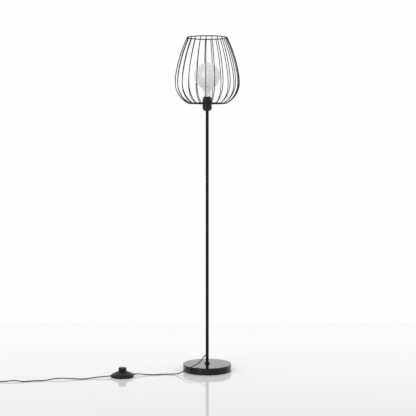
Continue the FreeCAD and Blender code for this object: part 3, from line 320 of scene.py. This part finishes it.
class Nodes:
    """The nodes of one material, in the object's own coordinates."""

    def __init__(self, name):
        self.material = bpy.data.materials.new(name)
        self.material.use_nodes = True
        self.tree = self.material.node_tree
        self.shader = self.tree.nodes["Principled BSDF"]
        self.place = self.add("ShaderNodeTexCoord").outputs["Object"]

    def add(self, kind, **settings):
        node = self.tree.nodes.new(kind)
        for key, setting in settings.items():
            setattr(node, key, setting)
        return node

    def link(self, output, socket):
        self.tree.links.new(output, socket)

    def noise(self, scale, detail=4.0, roughness=0.55, stretch=None):
        node = self.add("ShaderNodeTexNoise")
        node.inputs["Scale"].default_value = scale
        node.inputs["Detail"].default_value = detail
        node.inputs["Roughness"].default_value = roughness
        source = self.place
        if stretch:
            mapping = self.add("ShaderNodeMapping")
            mapping.inputs["Scale"].default_value = stretch
            self.link(source, mapping.inputs["Vector"])
            source = mapping.outputs["Vector"]
        self.link(source, node.inputs["Vector"])
        return node.outputs["Fac"]

    def spread(self, source, low, high, start=0.35, end=0.65):
        """The source's middle values spread from low to high."""
        node = self.add("ShaderNodeMapRange")
        node.inputs["From Min"].default_value = start
        node.inputs["From Max"].default_value = end
        node.inputs["To Min"].default_value = low
        node.inputs["To Max"].default_value = high
        self.link(source, node.inputs["Value"])
        return node.outputs["Result"]

    def between(self, source, first, last, start=0.35, end=0.65):
        """A colour between two, by the source."""
        node = self.add("ShaderNodeValToRGB")
        ramp = node.color_ramp
        ramp.elements[0].position = start
        ramp.elements[0].color = (*first, 1)
        ramp.elements[1].position = end
        ramp.elements[1].color = (*last, 1)
        self.link(source, node.inputs["Fac"])
        return node.outputs["Color"]

    def bump(self, source, distance, strength=1.0):
        """A bump on top of any that the shader has already."""
        node = self.add("ShaderNodeBump")
        node.inputs["Distance"].default_value = distance
        node.inputs["Strength"].default_value = strength
        self.link(source, node.inputs["Height"])
        normal = self.shader.inputs["Normal"]
        if normal.links:
            self.link(normal.links[0].from_socket, node.inputs["Normal"])
        self.link(node.outputs["Normal"], normal)


# How many times finer the gloss varies than the colour.
GLOSS_FINENESS = 7


def grained(name, dark, light, rough=(0.35, 0.45), grain=900, bump=0.02 * MM, blotch=18, **constants):
    """A surface with blotches of colour, an uneven gloss and a fine grain."""
    nodes = Nodes(name)
    colour = nodes.between(nodes.noise(blotch, 5), dark, light)
    nodes.link(colour, nodes.shader.inputs["Base Color"])
    gloss = nodes.spread(nodes.noise(blotch * GLOSS_FINENESS, 3), *rough)
    nodes.link(gloss, nodes.shader.inputs["Roughness"])
    nodes.bump(nodes.noise(grain, 2), bump)
    for socket, setting in constants.items():
        nodes.shader.inputs[socket.replace("_", " ")].default_value = setting
    return nodes


def powder_coat(name, dark, light, rough=(0.34, 0.42)):
    """Black powder coat: a fine orange peel with a satin gloss."""
    nodes = grained(name, dark, light, rough, grain=1400, bump=0.012 * MM, IOR=1.27,
                    Specular_IOR_Level=0.25)
    nodes.bump(nodes.noise(260, 2), 0.02 * MM, 0.6)
    return nodes.material


def base_lacquer():
    """The cover's smoother black lacquer, which mirrors its surroundings at a low angle."""
    nodes = grained("base_lacquer", (0.004, 0.0042, 0.0045), (0.007, 0.0072, 0.0076), (0.16, 0.21),
                    grain=900, bump=0.008 * MM, IOR=1.22, Coat_Weight=1.0, Coat_IOR=1.22,
                    Coat_Roughness=0.14)
    nodes.bump(nodes.noise(120, 2), 0.015 * MM, 0.5)
    return nodes.material


def moulded_plastic(name, rough=(0.3, 0.38), grain=2200, bump=0.015 * MM):
    """Black moulded plastic with a spark-eroded grain."""
    nodes = grained(name, (0.005, 0.005, 0.0055), (0.009, 0.009, 0.0095), rough, grain, bump, IOR=1.3)
    return nodes.material


def smooth_rubber(name, shade=0.014):
    """Soft black jacket or foot, with faint smears and a fine skin."""
    nodes = grained(name, (shade * 0.8,) * 3, (shade * 1.3,) * 3, (0.42, 0.55), grain=1800, bump=0.012 * MM,
                    blotch=45, IOR=1.3, Sheen_Weight=0.05)
    return nodes.material


def bright_metal(name, dark, light, rough=(0.22, 0.36), along=(1, 1, 14)):
    """Turned or drawn metal with fine marks along one way."""
    nodes = grained(name, dark, light, rough, grain=500, bump=0.006 * MM, Metallic=1.0)
    nodes.bump(nodes.noise(900, 2, stretch=along), 0.01 * MM, 0.7)
    return nodes.material


def cast_iron():
    nodes = grained("cast_iron", (0.045, 0.045, 0.048), (0.11, 0.105, 0.10), (0.55, 0.8), grain=420,
                    bump=0.35 * MM, blotch=60, Metallic=0.6)
    return nodes.material


def opal_glass():
    """White opal glass: a clear gloss over a milky body."""
    nodes = grained("opal_glass", (0.70, 0.71, 0.718), (0.725, 0.733, 0.74), (0.2, 0.24), grain=60,
                    bump=0.002 * MM, blotch=6, Coat_Weight=1.0, Coat_Roughness=0.06)
    return nodes.material


def insulator():
    nodes = grained("insulator", (0.62, 0.60, 0.54), (0.70, 0.68, 0.62), (0.4, 0.5), grain=700)
    return nodes.material


def paint(names, material):
    """Give CAD nodes or other pieces a material."""
    for name in names:
        thing = bpy.data.objects[name]
        thing.data.materials.clear()
        thing.data.materials.append(material)


def paint_all():
    ribs = [f"rib_{number:02d}" for number in range(1, RIB_COUNT + 1)]
    wires = ribs + ["cage_top_ring", "cage_bottom_ring", "cage_carrier", "cage_welds"]
    paint(wires, powder_coat("wire_coat", (0.005, 0.005, 0.0055), (0.009, 0.009, 0.0095)))
    tubes = ["lower_tube", "middle_tube", "upper_tube", "pole_collar"]
    paint(tubes, powder_coat("tube_coat", (0.007, 0.0072, 0.0075), (0.012, 0.0122, 0.0126)))
    paint(["base_cover"], base_lacquer())
    paint(["base_weight"], cast_iron())
    paint(["base_pad"], smooth_rubber("foam_pad", 0.03))
    steel = bright_metal("zinc_steel", (0.50, 0.51, 0.53), (0.62, 0.63, 0.65))
    paint(["base_fasteners", "tube_inserts", "holder_nipple", "switch_spring", "switch_screws"], steel)
    brass = bright_metal("brass", (0.66, 0.48, 0.22), (0.80, 0.62, 0.32), (0.2, 0.32))
    paint(["holder_contacts", "screw_shell", "switch_contacts"], brass)
    paint(["holder_cap", "holder_shell", "shade_ring"], moulded_plastic("holder_plastic", (0.26, 0.34)))
    paint(["holder_core"], insulator())
    paint(["bulb_globe"], opal_glass())
    paint(["bulb_cap"], bright_metal("cap_metal", (0.68, 0.68, 0.68), (0.80, 0.80, 0.79)))
    paint(["switch_cover", "switch_button"], moulded_plastic("switch_plastic", (0.3, 0.4), 2600, 0.02 * MM))
    paint(["switch_plate"], moulded_plastic("plate_plastic", (0.45, 0.55)))
    paint(["switch_feet"], smooth_rubber("foot_rubber", 0.02))
    reliefs = ["relief_boot_near", "relief_boot_far", "switch_reliefs"]
    paint(["cord_bush"] + reliefs, smooth_rubber("relief_rubber", 0.012))
    paint(["plug_body"], moulded_plastic("plug_plastic", (0.36, 0.46)))
    paint(["plug_pins"], bright_metal("pin_metal", (0.60, 0.59, 0.57), (0.72, 0.71, 0.69), (0.14, 0.24)))
    paint(["cord_tie"], smooth_rubber("tie_strap", 0.016))
    cord_nodes = ["cord_in_pole", "cord_to_switch", "cord_to_plug", "cord_coil"]
    paint(["lead_to_switch", "lead_to_plug"] + cord_nodes, smooth_rubber("cord_jacket", 0.013))


# ---------------------------------------------------------------- floor and light

FLOOR_FRONT = -9.0
FLOOR_BACK = 1.28
FLOOR_HALF_WIDTH = 7.0
# The floor's colour is painted shade: darker near the camera, fading to near white at its far edge behind
# the lamp.
FLOOR_PAINTED_SHADE_FADE = (-1.0, 0.75)
FLOOR_PAINTED_SHADE = (0.735, 0.74, 0.755)
FLOOR_FAR = (0.955, 0.96, 0.955)
FLOOR_ROUGHNESS = (0.055, 0.075)
FLOOR_GRAIN = 3

# The world's strength for diffuse light, and for what the camera and the reflections see.
WORLD_COLOUR = (0.985, 0.99, 0.99, 1)
WORLD_DIFFUSE = 0.95
WORLD_SEEN = 1.0
KEY_LIGHT = {"place": (-2.5, -3.3, 1.9), "target": (0, 0, 1.0), "size": (1.2, 3.0), "power": 34}
FILL_LIGHT = {"place": (3.2, -1.6, 1.8), "target": (0, 0, 0.9), "size": (1.2, 2.4), "power": 12}


def make_floor():
    """A pale floor with a gloss. Its colour is painted shade: darker towards the camera and whitest at its
    far edge behind the lamp.
    """
    corners = [
        (-FLOOR_HALF_WIDTH, FLOOR_FRONT, 0), (FLOOR_HALF_WIDTH, FLOOR_FRONT, 0),
        (FLOOR_HALF_WIDTH, FLOOR_BACK, 0), (-FLOOR_HALF_WIDTH, FLOOR_BACK, 0),
    ]
    mesh = bpy.data.meshes.new("floor")
    mesh.from_pydata(corners, [], [(0, 1, 2, 3)])
    floor = bpy.data.objects.new("floor", mesh)
    bpy.context.scene.collection.objects.link(floor)
    nodes = Nodes("floor")
    split = nodes.add("ShaderNodeSeparateXYZ")
    nodes.link(nodes.place, split.inputs["Vector"])
    # Painted shade: the floor's colour runs from darker at the front to white at the back.
    depth = nodes.spread(split.outputs["Y"], 0, 1, *FLOOR_PAINTED_SHADE_FADE)
    nodes.link(nodes.between(depth, FLOOR_PAINTED_SHADE, FLOOR_FAR, 0, 1), nodes.shader.inputs["Base Color"])
    gloss = nodes.spread(nodes.noise(FLOOR_GRAIN, 3), *FLOOR_ROUGHNESS)
    nodes.link(gloss, nodes.shader.inputs["Roughness"])
    mesh.materials.append(nodes.material)


def area_light(name, place, target, size, power):
    data = bpy.data.lights.new(name, "AREA")
    data.shape = "RECTANGLE"
    data.size, data.size_y = size
    data.energy = power
    light = bpy.data.objects.new(name, data)
    bpy.context.scene.collection.objects.link(light)
    light.location = place
    light.rotation_euler = (Vector(target) - Vector(place)).to_track_quat("-Z", "Y").to_euler()


def make_light():
    """White surroundings for camera and reflections, softer for the rest, and two soft boxes."""
    world = bpy.data.worlds.new("studio")
    bpy.context.scene.world = world
    world.use_nodes = True
    tree = world.node_tree
    background = tree.nodes["Background"]
    background.inputs["Color"].default_value = WORLD_COLOUR
    path = tree.nodes.new("ShaderNodeLightPath")
    seen = path.outputs["Is Camera Ray"]
    for kind in ("Is Glossy Ray", "Is Transmission Ray"):
        either = tree.nodes.new("ShaderNodeMath")
        either.operation = "MAXIMUM"
        tree.links.new(seen, either.inputs[0])
        tree.links.new(path.outputs[kind], either.inputs[1])
        seen = either.outputs[0]
    level = tree.nodes.new("ShaderNodeMapRange")
    level.inputs["To Min"].default_value = WORLD_DIFFUSE
    level.inputs["To Max"].default_value = WORLD_SEEN
    tree.links.new(seen, level.inputs["Value"])
    tree.links.new(level.outputs["Result"], background.inputs["Strength"])
    area_light("key", **KEY_LIGHT)
    area_light("fill", **FILL_LIGHT)


# ---------------------------------------------------------------- the whole scene

make_camera()
lead_to_switch, lead_to_plug = make_cords()
cage_welds()
near_boot = relief_boot("relief_boot_near", SWITCH_TURN)
far_boot = relief_boot("relief_boot_far", SWITCH_TURN + math.pi)
for lead in (lead_to_switch, lead_to_plug):
    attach(lead, "lamp")
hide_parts("cord_to_switch")
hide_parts("cord_to_plug", "cord_coil")
paint_all()
make_floor()
make_light()
bpy.context.scene.view_settings.view_transform = "Standard"

bpy.context.view_layer.update()
